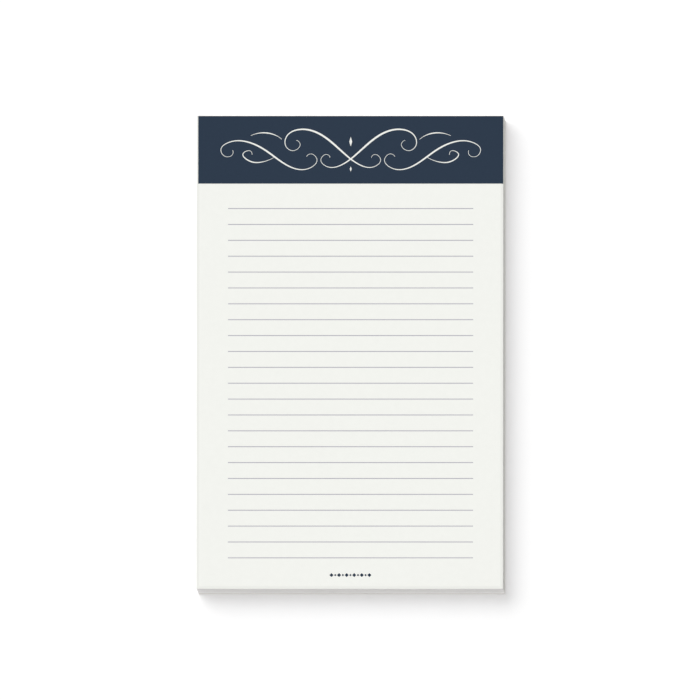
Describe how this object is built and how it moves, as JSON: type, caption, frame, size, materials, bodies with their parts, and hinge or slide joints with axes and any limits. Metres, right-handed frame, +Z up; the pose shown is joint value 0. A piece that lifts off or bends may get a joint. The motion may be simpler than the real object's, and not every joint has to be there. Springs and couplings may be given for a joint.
{
  "type": "legal pad",
  "caption": "White ruled writing pad, glued along the head edge to a stiff backing board, with a dark printed header band.",
  "frame": {"origin": "middle of the pad's underside, where the backing board rests", "axes": "+Z up out of the top sheet, +Y towards the glued head edge, +X to the writer's right"},
  "size_m": [0.127, 0.2036, 0.0083],
  "materials": {
    "sheet_paper": "uncoated white text paper",
    "backing_chipboard": "raw pale grey chipboard",
    "padding_glue": "brushed white glue, dried satin",
    "navy_ink": "matte offset ink on paper",
    "grey_ink": "matte offset ink on paper"
  },
  "bodies": {
    "root": {"sheet_block": "sheet_paper", "backing_board": "backing_chipboard", "padding_glue": "padding_glue", "header_band": "navy_ink", "ruled_lines": "grey_ink", "foot_ornament": "navy_ink"}
  },
  "joints": []
}
